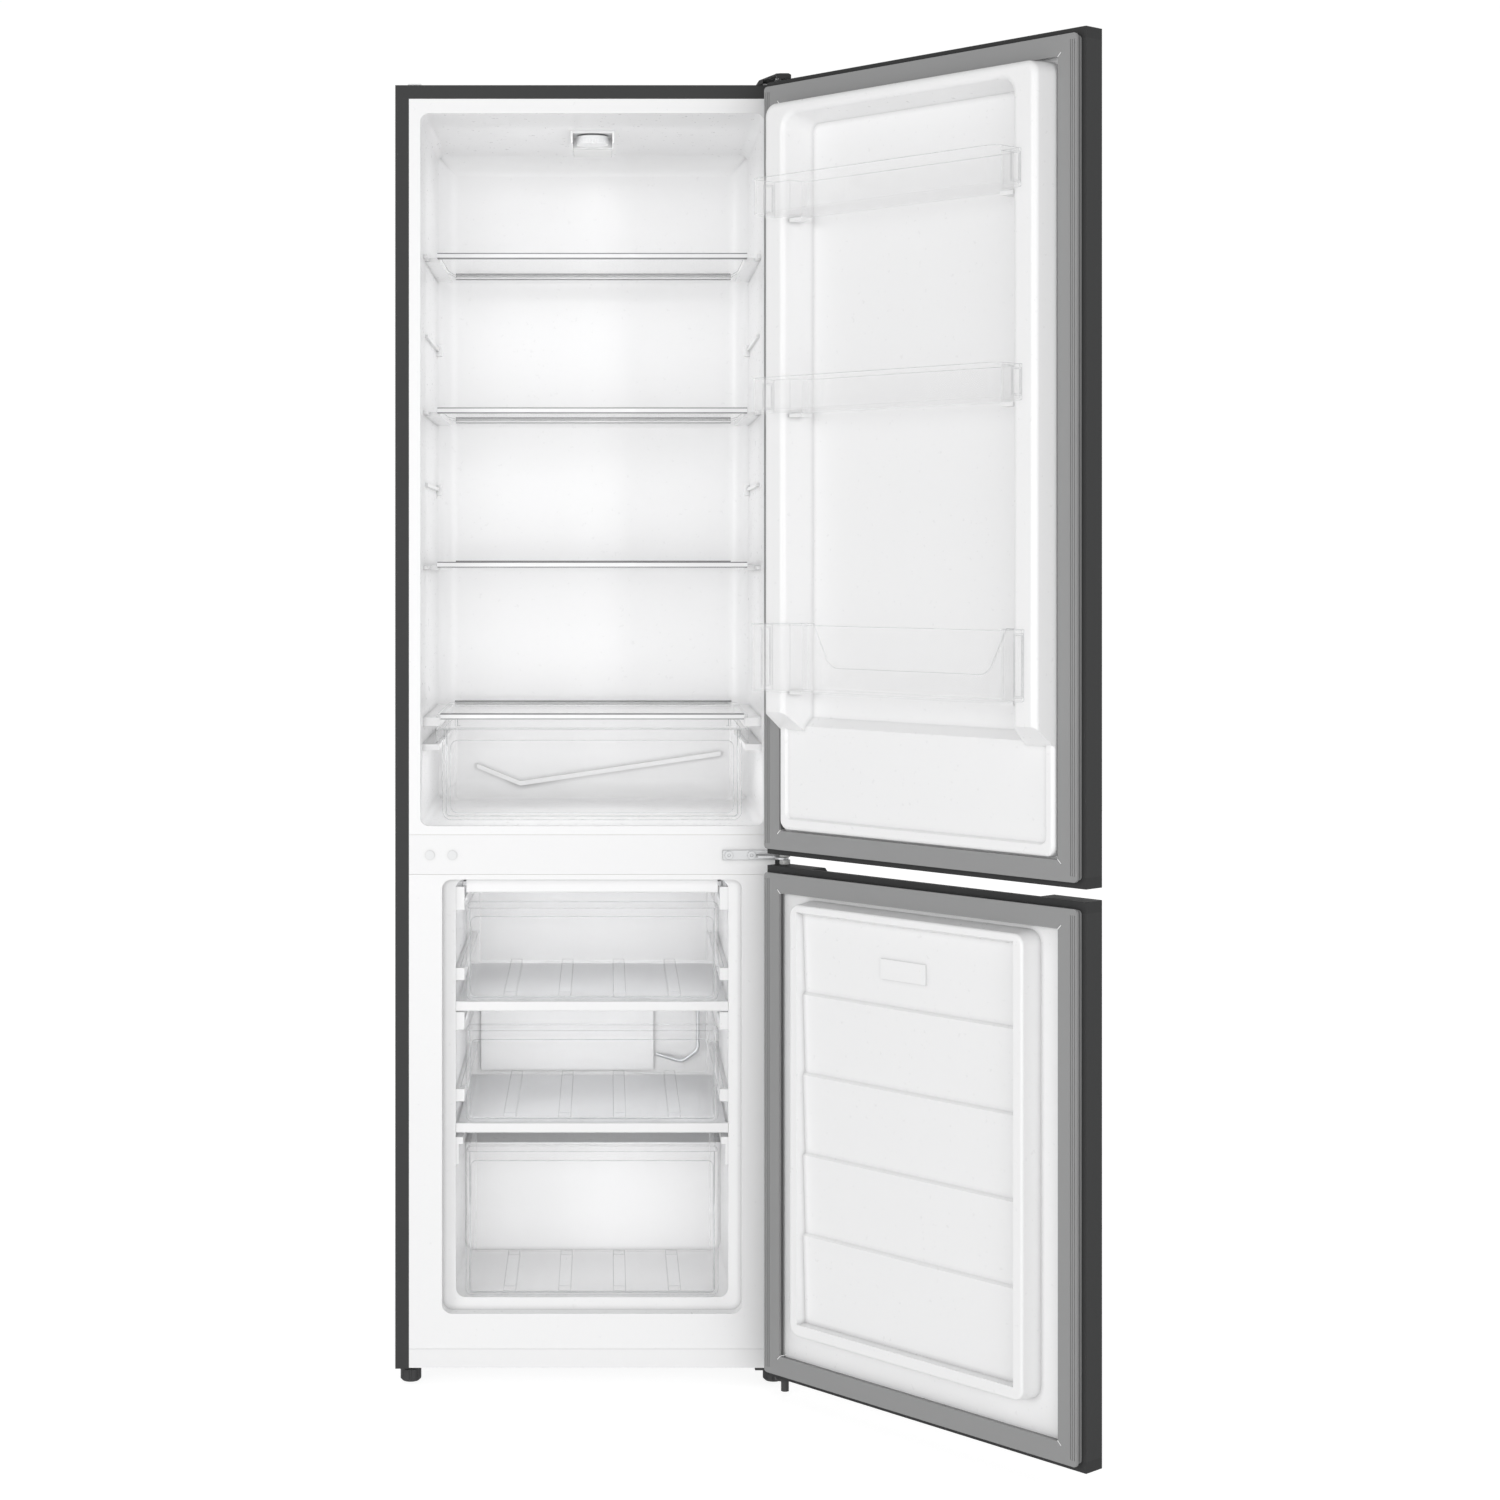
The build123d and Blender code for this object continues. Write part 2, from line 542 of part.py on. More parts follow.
with BuildPart(Plane((0, dial_y, 0))) as thermostat_dial:
    rod(0, 0, dial_z, dial_r)
    fillet(thermostat_dial.edges().filter_by(GeomType.CIRCLE), 1.6)
    # grip flutes round the lower half of the rim
    with Locations((0, 0, dial_z[0] + 2.6)):
        with PolarLocations(dial_r + 0.6, 30):
            Cylinder(1.3, 5.2, mode=Mode.SUBTRACT)
    rod(0, 0, (dial_z[1] - 1, 1760.0), 3.0)
    block((-0.8, 0.8), (-dial_r + 1, -dial_r + 9), (dial_z[0] - 0.8, dial_z[0] + 1))
thermostat_dial.part.label = "thermostat_dial"
export_step(thermostat_dial.part, "parts/thermostat_dial.step")

with BuildPart() as lamp_lens:
    block((-28.3, 28.3), (205.2, 290), (1741.5, 1756.8))
    fillet(lamp_lens.edges().filter_by(Axis.X).group_by(Axis.Z)[0], 5)
    offset(amount=-1.5, openings=lamp_lens.faces().sort_by(Axis.Z)[-1])
lamp_lens.part.label = "lamp_lens"
export_step(lamp_lens.part, "parts/lamp_lens.step")

# ---------------------------------------------------------------- shelves and crisper
def glass_plate(half_width, y0, y1, z_top, taper_from, rear_half):
    """A glass plate whose rear corners are cut back."""
    with BuildPart() as plate:
        with BuildSketch(Plane.XY.offset(z_top - glass_t)):
            with BuildLine():
                Polyline(
                    (-half_width, y0), (half_width, y0), (half_width, taper_from),
                    (rear_half, y1), (-rear_half, y1), (-half_width, taper_from), close=True,
                )
            make_face()
        extrude(amount=glass_t)
    return plate.part


for number, top in enumerate(shelf_tops, start=1):
    glass = glass_plate(shelf_half - 2, shelf_y0 + 3, shelf_y1 - 3, top, 326, 209)
    with BuildPart() as shelf_glass:
        add(glass)
    shelf_glass.part.label = f"shelf_{number}_glass"
    export_step(shelf_glass.part, f"parts/shelf_{number}_glass.step")

    with BuildPart() as shelf_trims:
        block((-shelf_half, shelf_half), (shelf_y0, shelf_y0 + 12), (top - 6.6, top + 1.5))
        chamfer(shelf_trims.edges().filter_by(Axis.X).group_by(Axis.Y)[0], trim_edge)
        block((-210, 210), (shelf_y1 - 12, shelf_y1), (top - 6.6, top + 2.6))
        add(glass, mode=Mode.SUBTRACT)
    shelf_trims.part.label = f"shelf_{number}_trims"
    export_step(shelf_trims.part, f"parts/shelf_{number}_trims.step")

cover_plate = glass_plate(219, crisper_y0 + 4, 394, cover_z, 386, 212)
with BuildPart() as crisper_cover_glass:
    add(cover_plate)
crisper_cover_glass.part.label = "crisper_cover_glass"
export_step(crisper_cover_glass.part, "parts/crisper_cover_glass.step")

with BuildPart() as crisper_cover_trims:
    block((-213.5, 213.5), (crisper_y0, crisper_y0 + 11), (cover_z - 6.5, cover_z + 1.8))
    chamfer(crisper_cover_trims.edges().filter_by(Axis.X).group_by(Axis.Y)[0], trim_edge)
    block((-211, 211), (384, 397), (cover_z - 6, cover_z + 2.5))
    add(cover_plate, mode=Mode.SUBTRACT)
crisper_cover_trims.part.label = "crisper_cover_trims"
export_step(crisper_cover_trims.part, "parts/crisper_cover_trims.step")


def open_box(half_width, y0, y1, z0, z1, wall, floor_r):
    """A drawer's tub, open at the top, with a rounded lower edge all round."""
    with BuildPart() as tub:
        block((-half_width, half_width), (y0, y1), (z0, z1))
        fillet(tub.edges().filter_by(Axis.Z), floor_r)
        fillet(tub.edges().group_by(Axis.Z)[0], floor_r - 1)
        offset(amount=-wall, openings=tub.faces().sort_by(Axis.Z)[-1])
    return tub.part


crisper_tub = open_box(crisper_half, crisper_y0 + 6, crisper_y1, crisper_z0, crisper_z1, 2.4, 11)
with BuildPart() as crisper_drawer:
    add(crisper_tub)
    # front panel with a raised frame
    with BuildSketch(Plane.XZ.offset(-crisper_y0 - 7)):
        with Locations((0, (crisper_z0 + 896) / 2)):
            RectangleRounded(2 * crisper_half, 896 - crisper_z0, 12)
        with Locations((0, 900)):
            Rectangle(2 * crisper_half - 4, 12)
    extrude(amount=7)
    with BuildSketch(Plane.XZ.offset(-crisper_y0)):
        with Locations((0, 838)):
            RectangleRounded(2 * 199, 102, 10)
    extrude(amount=-4, mode=Mode.SUBTRACT)
    # rim with its folded skirt, which slides on the runners
    block((-crisper_rim_half, crisper_rim_half), (crisper_y0, crisper_y1 + 4), (903.6, crisper_z1))
    both_sides(217.6, crisper_rim_half, (crisper_y0 + 2, crisper_y1 + 4), (884.5, crisper_z1))
    block(
        (-crisper_half + 2.4, crisper_half - 2.4),
        (crisper_y0 + 14, crisper_y1 - 2.4),
        (890, 920),
        Mode.SUBTRACT,
    )
crisper_drawer.part.label = "crisper_drawer"
export_step(crisper_drawer.part, "parts/crisper_drawer.step")

# ---------------------------------------------------------------- freezer fittings
with BuildPart() as evaporator_plates:
    for z, half_width in zip(evaporator_z, (180, 187, 187)):
        block((-half_width, half_width), (trim_y1, 396), (z, z + evaporator_t))
evaporator_plates.part.label = "evaporator_plates"
export_step(evaporator_plates.part, "parts/evaporator_plates.step")

with BuildPart() as freezer_trims:
    for (z0, z1), half_width in zip(trim_spans, (175.0, 189.5, 189.5)):
        block((-half_width, half_width), (drawer_y0, trim_y1), (z0, z1))
    fillet(freezer_trims.edges().filter_by(Axis.X).group_by(Axis.Y)[0], 2)
freezer_trims.part.label = "freezer_trims"
export_step(freezer_trims.part, "parts/freezer_trims.step")

suction_r = 3.0
with BuildPart() as evaporator_tube:
    with BuildLine() as tube_path:
        rounded_path([(96, 402, 386), (136, 402, 374), (160, 402, 392), (160, 402, 516)], 14)
    with BuildSketch(Plane(tube_path.line @ 0, z_dir=tube_path.line % 0)):
        Circle(suction_r)
    sweep()
evaporator_tube.part.label = "evaporator_tube"
export_step(evaporator_tube.part, "parts/evaporator_tube.step")


def freezer_drawer(z0, z1, y1, lips):
    """A clear drawer: tub, framed front, floor channels and side lips."""
    tub_z1 = z1 - 10
    tub = open_box(drawer_half - 1, drawer_y0 + 8, y1, z0, tub_z1, 2.2, 9)
    with BuildPart() as drawer:
        add(tub)
        with BuildSketch(Plane.XZ.offset(-drawer_y0 - 9)):
            with Locations((0, (z0 + z1) / 2)):
                RectangleRounded(2 * drawer_half, z1 - z0, 9)
        extrude(amount=9)
        with BuildSketch(Plane.XZ.offset(-drawer_y0)):
            with Locations((0, (z0 + z1) / 2 - 8)):
                RectangleRounded(2 * (drawer_half - 7), z1 - z0 - 26, 8)
        extrude(amount=-6.5, mode=Mode.SUBTRACT)
        # channels pressed up in the floor
        for x in (-115.5, -38.5, 38.5, 115.5):
            block((x - 8.5, x + 8.5), (drawer_y0 + 22, y1 - 30), (z0 + 2, z0 + 9))
        if lips:
            both_sides(drawer_half - 2, 184, (drawer_y0 + 12, y1), (lips, lips + 2.5))
    return drawer.part


for number, (z0, z1) in enumerate(drawer_spans, start=1):
    shallow = number == len(drawer_spans)
    lips = None if shallow else runner_levels[number - 1] + 17
    made = freezer_drawer(z0, z1, short_drawer_y1 if shallow else drawer_y1, lips)
    with BuildPart() as freezer_box:
        add(made)
    freezer_box.part.label = f"freezer_drawer_{number}"
    export_step(freezer_box.part, f"parts/freezer_drawer_{number}.step")


# ---------------------------------------------------------------- doors
gasket_y = -0.3  # face of the gasket, which meets the cabinet
dike_half, dike_in_half = half - 37.0, half - 86.5  # the raised band on the upper door
dike_z0, dike_z1, dike_in_z1 = 912.0, 1758.0, 1728.0
dike_m, dike_r = 48.0, 20.0
apron_z0, apron_z1, apron_m = 778.0, 932.0, 16.0  # the lower field under the band
pad_half, pad_z0, pad_z1, pad_m = 202.8, 102.5, 685.5, 33.0  # the raised field on the lower door
lap_half, lap_low_m, lap_high_m, lap_ledge = 185.3, 16.5, 21.0, 3.5
laps = (122.0, 243.0, 350.5, 457.8, 565.1, 668.0)  # edges of its lapped panels


gasket_grooves = (8.2, 11.6, 14.4)  # fine lines along the gasket's outer edge


def inner_face(skin=0.0):
    """The door's inner face, or a plane a skin's thickness below it; its normal points inward."""
    return Plane((0, door_back - skin, 0), x_dir=(-1, 0, 0), z_dir=(0, 1, 0))


def door_section(thickness, z0, z1):
    """A door's outline, inset by a thickness, between two heights."""
    with BuildPart() as form:
        with BuildSketch(Plane.XY.offset(z0)) as outline:
            with Locations((0, (door_front + door_back) / 2)):
                Rectangle(2 * (half - thickness), door_back - door_front - 2 * thickness)
            fillet(outline.vertices().group_by(Axis.Y)[0], 4.0 - thickness)
        extrude(amount=z1 - z0)
    return form.part


def ring(door_z, inset, width, y0, y1):
    """A rectangular ring on a door's inner side, from one depth to another."""
    z0, z1 = door_z[0] + inset, door_z[1] - inset
    with BuildPart() as form:
        with BuildSketch(Plane.XZ.offset(-y0)):
            with Locations((0, (z0 + z1) / 2)):
                RectangleRounded(2 * (half - inset), z1 - z0 - 2 * gasket_end, 5)
                Rectangle(2 * (half - inset - width), z1 - z0 - 2 * width, mode=Mode.SUBTRACT)
        extrude(amount=y0 - y1)
    return form.part


def apron(skin):
    """The lower field of the upper door's inner face, with a shallow recess."""
    with BuildPart() as field:
        with BuildSketch(inner_face(skin)):
            with Locations((0, (apron_z0 + skin + apron_z1) / 2)):
                RectangleRounded(2 * (dike_half - skin), apron_z1 - apron_z0 - skin, 14)
        extrude(amount=apron_m, taper=4)
        fillet(field.faces().sort_by(Axis.Y)[-1].edges(), 5 - skin)
        with BuildSketch(Plane.XZ.offset(skin - door_back - apron_m)):
            with Locations((0, (apron_z0 + 15 - skin + apron_z1) / 2)):
                RectangleRounded(2 * (dike_half - 12 + skin), apron_z1 - apron_z0 - 15 + skin, 10)
        extrude(amount=3.5, taper=40, mode=Mode.SUBTRACT)
        # the upper end slopes back to the panel behind the trays
        with BuildSketch(Plane.YZ.offset(-half)):
            with BuildLine():
                low, high = door_back - skin, door_back + apron_m + 1 - skin
                Polyline(
                    (low, 960), (low, apron_z1 - skin), (high, apron_z1 - 17 - skin),
                    (high, 960), close=True,
                )
            make_face()
        extrude(amount=2 * half, mode=Mode.SUBTRACT)
    return field.part


def dike(skin=0.0):
    """The rounded band round the upper door's inner face, which ends in the lower field."""
    lower_field = apron(skin)
    with BuildPart() as band:
        with BuildSketch(inner_face(skin)) as outside:
            with Locations((0, (dike_z0 + dike_z1 - skin) / 2)):
                Rectangle(2 * (dike_half - skin), dike_z1 - skin - dike_z0)
            fillet(outside.vertices().group_by(Axis.Y)[-1], dike_r - skin)
        extrude(amount=dike_m, taper=4)
        with BuildSketch(inner_face(skin)) as inside:
            with Locations((0, (dike_z0 - 60 + dike_in_z1 + skin) / 2)):
                Rectangle(2 * (dike_in_half + skin), dike_in_z1 + skin - dike_z0 + 60)
            fillet(inside.vertices().group_by(Axis.Y)[-1], 12 + skin)
        extrude(amount=dike_m, taper=-13, mode=Mode.SUBTRACT)
        fillet(band.faces().sort_by(Axis.Y)[-1].edges(), 8 - skin)
        # the lower ends slope down to the lower field
        with BuildSketch(Plane.YZ.offset(-half)):
            with BuildLine():
                low, high = door_back + apron_m - skin, door_back + dike_m + 9 - skin
                Polyline(
                    (low - 16, 860), (low - 16, 904 + skin), (low, 916 + skin),
                    (high, 946 + skin), (high, 860), close=True,
                )
            make_face()
        extrude(amount=2 * half, mode=Mode.SUBTRACT)
        add(lower_field)
    return band.part


def freezer_pad(skin=0.0):
    """The raised field on the lower door, with its recess of lapped panels."""
    with BuildPart() as pad:
        with BuildSketch(inner_face(skin)):
            with Locations((0, (pad_z0 + pad_z1) / 2)):
                RectangleRounded(2 * (pad_half - skin), pad_z1 - pad_z0 - 2 * skin, 18)
        extrude(amount=pad_m, taper=6)
        fillet(pad.faces().sort_by(Axis.Y)[-1].edges(), 4)
        with BuildSketch(Plane.YZ.offset(-lap_half - skin)):
            with BuildLine():
                top = door_back + pad_m + 8
                steps = [(top, laps[0] - skin)]
                for low, high in zip(laps, laps[1:]):
                    start = low - skin if low == laps[0] else low
                    steps.append((door_back + lap_low_m - skin, start))
                    if high == laps[-1]:
                        steps.append((door_back + lap_high_m - skin, high + skin))
                    else:
                        # a sloping ledge at the top of each panel
                        steps.append((door_back + lap_high_m - skin, high - lap_ledge))
                steps.append((top, laps[-1] + skin + 8))
                Polyline(*steps, close=True)
            make_face()
        extrude(amount=2 * (lap_half + skin), mode=Mode.SUBTRACT)
    return pad.part


def corner_ribs(door_z, start, stop, width, y0, y1):
    """Short diagonal ribs at the four inner corners of the gasket, measured outward from them."""
    inset = gasket_in + gasket_w
    reach = (start + stop) / 2 * math.cos(math.radians(45))
    with BuildPart() as ribs:
        for side in (-1, 1):
            for end, z in ((-1, door_z[0] + inset), (1, door_z[1] - inset)):
                spot = (side * (half - inset + reach), (y0 + y1) / 2, z + end * reach)
                with Locations(Location(spot, (0, -45 * side * end, 0))):
                    Box(stop - start, y1 - y0, width)
    return ribs.part


for name, door_z, relief in (
    ("fridge_door", fridge_door_z, dike),
    ("freezer_door", freezer_door_z, freezer_pad),
):
    z0, z1 = door_z
    body_z = (z0 + cap_h, z1 - cap_h)
    liner_z = (z0 + 11, z1 - 11)
    liner_x = half - 11
    outer_form = door_section(0, *body_z)
    inner_form = door_section(sheet, *body_z)

    with BuildPart(DOOR) as door_skin:
        add(outer_form)
        add(inner_form, mode=Mode.SUBTRACT)
        block((10 - half, half - 10), (door_back - 1.5, door_back + 1), body_z, Mode.SUBTRACT)
    door_skin.part.label = f"{name}_skin"
    export_step(door_skin.part, f"parts/{name}_skin.step")

    foam_relief = relief(plastic)
    with BuildPart(DOOR) as door_foam:
        add(inner_form)
        block((-half, half), (door_back - plastic, door_back), body_z, Mode.SUBTRACT)
        add(foam_relief)
    door_foam.part.label = f"{name}_foam"
    export_step(door_foam.part, f"parts/{name}_foam.step")

    full_relief = relief()
    ribs = corner_ribs(door_z, -1.0, 6.5, 1.2, door_back - 1, gasket_y - 0.3)
    rib_slots = corner_ribs(door_z, -3.0, 7.0, 1.8, door_back - 1, 1)
    with BuildPart(DOOR) as door_liner:
        block((-liner_x, liner_x), (door_back - plastic, door_back), liner_z)
        add(ribs)
        add(full_relief)
        add(foam_relief, mode=Mode.SUBTRACT)
        if name == "freezer_door":
            # a small plain plate in the upper panel
            block((-31.4, 46.0), (door_back + 17.5, door_back + 20.8), (599, 625))
        else:
            # ledges that carry the trays
            for tray_z0, tray_z1 in tray_spans:
                ledge_y = (door_back + tray_back, door_back + tray_back + 20)
                both_sides(170, 192, ledge_y, (tray_z0 - 5.3, tray_z0 - 0.3))
    door_liner.part.label = f"{name}_liner"
    export_step(door_liner.part, f"parts/{name}_liner.step")

    low_cap = door_section(0, z0, z0 + cap_h)
    high_cap = door_section(0, z1 - cap_h, z1)
    grip_z = (z1 - 12, z1) if name == "freezer_door" else (z0 + 12, z0)
    with BuildPart() as grip:
        with BuildSketch(Plane.XZ.offset(-door_front + 1)):
            with BuildLine():
                Polyline(
                    (-grip_half, grip_z[1]), (grip_half, grip_z[1]),
                    (grip_half - 12, grip_z[0]), (12 - grip_half, grip_z[0]), close=True,
                )
            make_face()
        extrude(amount=-27)
    with BuildPart(DOOR) as door_caps:
        add(low_cap)
        add(high_cap)
        block((-liner_x, liner_x), (door_back - plastic, door_back + 1), liner_z, Mode.SUBTRACT)
        rod(pin_x, pin_y, (z0, z1), bush_r, Mode.SUBTRACT)
        add(grip.part, mode=Mode.SUBTRACT)
    door_caps.part.label = f"{name}_caps"
    export_step(door_caps.part, f"parts/{name}_caps.step")

    gasket_steps = (
        (7.0, 25.5, door_back, -9.5),
        (9.5, 19.5, -9.5, -3.8),
        (gasket_in, gasket_w, -3.8, gasket_y),
    )
    gasket_rings = [ring(door_z, *step) for step in gasket_steps]
    with BuildPart(DOOR) as door_gasket:
        for gasket_ring in gasket_rings:
            add(gasket_ring)
        for inset in gasket_grooves:
            both_sides(
                half - inset - 0.9, half - inset, (gasket_y - 0.9, 0.5), (z0 + 16, z1 - 16),
                Mode.SUBTRACT,
            )
        add(rib_slots, mode=Mode.SUBTRACT)
    door_gasket.part.label = f"{name}_gasket"
    export_step(door_gasket.part, f"parts/{name}_gasket.step")

    low_collar = 6.2 if name == "freezer_door" else 5.6
    high_collar = 6.0 if name == "freezer_door" else 3.9
    with BuildPart(DOOR) as door_bushings:
        rod(pin_x, pin_y, (z0, z0 + cap_h), bush_r - 0.05)
        rod(pin_x, pin_y, (z0 - low_collar, z0), collar_r)
        rod(pin_x, pin_y, (z1 - cap_h, z1), bush_r - 0.05)
        rod(pin_x, pin_y, (z1, z1 + high_collar), collar_r)
        rod(pin_x, pin_y, (0, 2000), pin_r + running_fit, Mode.SUBTRACT)
    door_bushings.part.label = f"{name}_bushings"
    export_step(door_bushings.part, f"parts/{name}_bushings.step")

# ---------------------------------------------------------------- door trays
tray_wall = 2.2
tray_r, tray_rear_half = 16.0, 182.5
dike_clear = door_back + dike_m + 0.5
tray_front = door_back + tray_reach
for name, (z0, z1), end in zip(("tray_top", "tray_middle", "tray_bottom"), tray_spans, tray_halves):
    with BuildPart() as tub:
        block((-end, end), (dike_clear, tray_front), (z0, z1))
        fillet(tub.edges().filter_by(Axis.Z).group_by(Axis.Y)[-1], tray_r)
        block(
            (-tray_rear_half, tray_rear_half), (door_back + tray_back, dike_clear), (z0, z1)
        )
        fillet(tub.edges().filter_by(Axis.Z).group_by(Axis.Y)[0], 5)
        fillet(tub.edges().group_by(Axis.Z)[0], 3)
        offset(amount=-tray_wall, openings=tub.faces().sort_by(Axis.Z)[-1])
        # raised frame on each end
        frame_y, frame_z = (tray_front - 46, tray_front - 28), (z0 + 6, z1 - 5)
        both_sides(end, end + 1.2, frame_y, frame_z)
        both_sides(
            end, end + 2, (frame_y[0] + 2, frame_y[1] - 2), (frame_z[0] + 2, frame_z[1] - 2),
            Mode.SUBTRACT,
        )
        if name == "tray_bottom":
            # the back wall is cut down in the middle
            with BuildSketch(Plane.XZ.offset(-door_back - tray_back + 2)) as notch:
                with BuildLine():
                    Polyline(
                        (-166, z1 + 1), (166, z1 + 1), (135, 1000), (-135, 1000), close=True
                    )
                make_face()
                fillet(notch.vertices().group_by(Axis.Y)[0], 22)
            extrude(amount=-8, mode=Mode.SUBTRACT)
    with BuildPart(DOOR) as tray:
        add(tub.part)
    tray.part.label = name
    export_step(tray.part, f"parts/{name}.step")
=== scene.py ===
import math

import bpy
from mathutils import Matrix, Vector

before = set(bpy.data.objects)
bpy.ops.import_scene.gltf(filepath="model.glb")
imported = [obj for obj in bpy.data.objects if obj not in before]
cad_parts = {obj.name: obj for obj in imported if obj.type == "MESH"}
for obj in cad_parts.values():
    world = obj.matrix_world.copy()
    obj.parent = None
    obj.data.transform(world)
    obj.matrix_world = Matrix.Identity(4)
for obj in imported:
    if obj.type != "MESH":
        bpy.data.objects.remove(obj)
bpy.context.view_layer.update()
scene = bpy.context.scene
scene.view_settings.view_transform = "Standard"
# the drawers are seen through many clear walls
scene.cycles.transparent_max_bounces = 40

# ---------------------------------------------------------------- camera
# its place, lens and shift are fitted to the cabinet and the doors, in metres and millimetres
lens_data = bpy.data.cameras.new("camera")
camera = bpy.data.objects.new("camera", lens_data)
scene.collection.objects.link(camera)
scene.camera = camera
camera.location = (0.0186, -3.7987, 1.150)
camera.rotation_euler = (math.radians(90), 0, 0)
lens_data.sensor_width = 36.0
lens_data.lens = 65.82
lens_data.shift_x = 0.0964
lens_data.shift_y = -0.1302
lens_data.clip_end = 60.0


# ---------------------------------------------------------------- material kit
def new_material(name):
    """A material with its node tree, its Principled shader and its output."""
    material = bpy.data.materials.new(name)
    material.use_nodes = True
    nodes, links = material.node_tree.nodes, material.node_tree.links
    return material, nodes, links, nodes["Principled BSDF"], nodes["Material Output"]


def texture(nodes, links, kind, scale, stretch=(1, 1, 1), **settings):
    """A procedural texture in the object's own coordinates, in metres."""
    place = nodes.new("ShaderNodeTexCoord")
    mapping = nodes.new("ShaderNodeMapping")
    mapping.inputs["Scale"].default_value = stretch
    links.new(place.outputs["Object"], mapping.inputs["Vector"])
    node = nodes.new(kind)
    links.new(mapping.outputs["Vector"], node.inputs["Vector"])
    node.inputs["Scale"].default_value = scale
    for key, value in settings.items():
        node.inputs[key].default_value = value
    return node


def spread(nodes, links, source, low, high):
    """Maps a texture's 0 to 1 onto a narrower range."""
    node = nodes.new("ShaderNodeMapRange")
    links.new(source, node.inputs["Value"])
    node.inputs["To Min"].default_value = low
    node.inputs["To Max"].default_value = high
    return node.outputs["Result"]


def tinted(nodes, links, source, dark, light):
    """A colour between two, chosen by a texture."""
    ramp = nodes.new("ShaderNodeMix")
    ramp.data_type = "RGBA"
    links.new(source, ramp.inputs["Factor"])
    ramp.inputs["A"].default_value = (*dark, 1)
    ramp.inputs["B"].default_value = (*light, 1)
    return ramp.outputs["Result"]


def bump(nodes, links, source, shader, strength, distance):
    """A fine relief from a texture."""
    node = nodes.new("ShaderNodeBump")
    node.inputs["Strength"].default_value = strength
    node.inputs["Distance"].default_value = distance
    links.new(source, node.inputs["Height"])
    links.new(node.outputs["Normal"], shader.inputs["Normal"])
    return node


def scaled(colour, factor):
    return tuple(min(1.0, c * factor) for c in colour)


def paint(name, colour, rough=0.35, metallic=0.0, grain=900.0, relief=0.25, vary=0.05, shine=0.5):
    """Sprayed or moulded surface: faint clouds in the colour, orange peel in the relief."""
    material, nodes, links, shader, _ = new_material(name)
    clouds = texture(nodes, links, "ShaderNodeTexNoise", 3.0, Detail=4.0)
    dark, light = scaled(colour, 1 - vary), scaled(colour, 1 + vary)
    base = tinted(nodes, links, clouds.outputs["Fac"], dark, light)
    links.new(base, shader.inputs["Base Color"])
    peel = texture(nodes, links, "ShaderNodeTexNoise", grain, Detail=3.0)
    gloss = spread(nodes, links, peel.outputs["Fac"], rough * 0.85, rough * 1.15)
    links.new(gloss, shader.inputs["Roughness"])
    bump(nodes, links, peel.outputs["Fac"], shader, relief, 0.0002)
    shader.inputs["Metallic"].default_value = metallic
    shader.inputs["Specular IOR Level"].default_value = shine
    return material


def moulded(name, colour, rough=0.28, reach=0.007, depth=0.45, alone=True):
    """Smooth glossy plastic: a faint grain in colour and gloss, with painted shade darkening its fine
    crevices.
    """
    material, nodes, links, shader, _ = new_material(name)
    grain = texture(nodes, links, "ShaderNodeTexNoise", 140.0, Detail=8.0)
    base = tinted(nodes, links, grain.outputs["Fac"], scaled(colour, 0.994), scaled(colour, 1.006))
    # painted shade: ambient occlusion within reach darkens the colour by up to depth in crevices and creases,
    # only the part's own when alone, gaps to other parts too otherwise
    painted_crevice_shade = nodes.new("ShaderNodeAmbientOcclusion")
    painted_crevice_shade.samples = 8
    painted_crevice_shade.only_local = alone
    painted_crevice_shade.inputs["Distance"].default_value = reach
    shade = nodes.new("ShaderNodeMix")
    shade.data_type = "RGBA"
    links.new(painted_crevice_shade.outputs["AO"], shade.inputs["Factor"])
    shade.inputs["A"].default_value = (*scaled(colour, 1 - depth), 1)
    links.new(base, shade.inputs["B"])
    links.new(shade.outputs["Result"], shader.inputs["Base Color"])
    gloss = spread(nodes, links, grain.outputs["Fac"], rough * 0.94, rough * 1.06)
    links.new(gloss, shader.inputs["Roughness"])
    return material


def edge_mask(nodes, links, radius, low=0.02, high=0.22):
    """1 along a solid's edges, 0 on its faces."""
    rounded = nodes.new("ShaderNodeBevel")
    rounded.samples = 6
    rounded.inputs["Radius"].default_value = radius
    flat = nodes.new("ShaderNodeNewGeometry")
    along = nodes.new("ShaderNodeVectorMath")
    along.operation = "DOT_PRODUCT"
    links.new(rounded.outputs["Normal"], along.inputs[0])
    links.new(flat.outputs["Normal"], along.inputs[1])
    mask = nodes.new("ShaderNodeMapRange")
    links.new(along.outputs["Value"], mask.inputs["Value"])
    mask.inputs["From Min"].default_value = 1 - low
    mask.inputs["From Max"].default_value = 1 - high
    return mask.outputs["Result"]


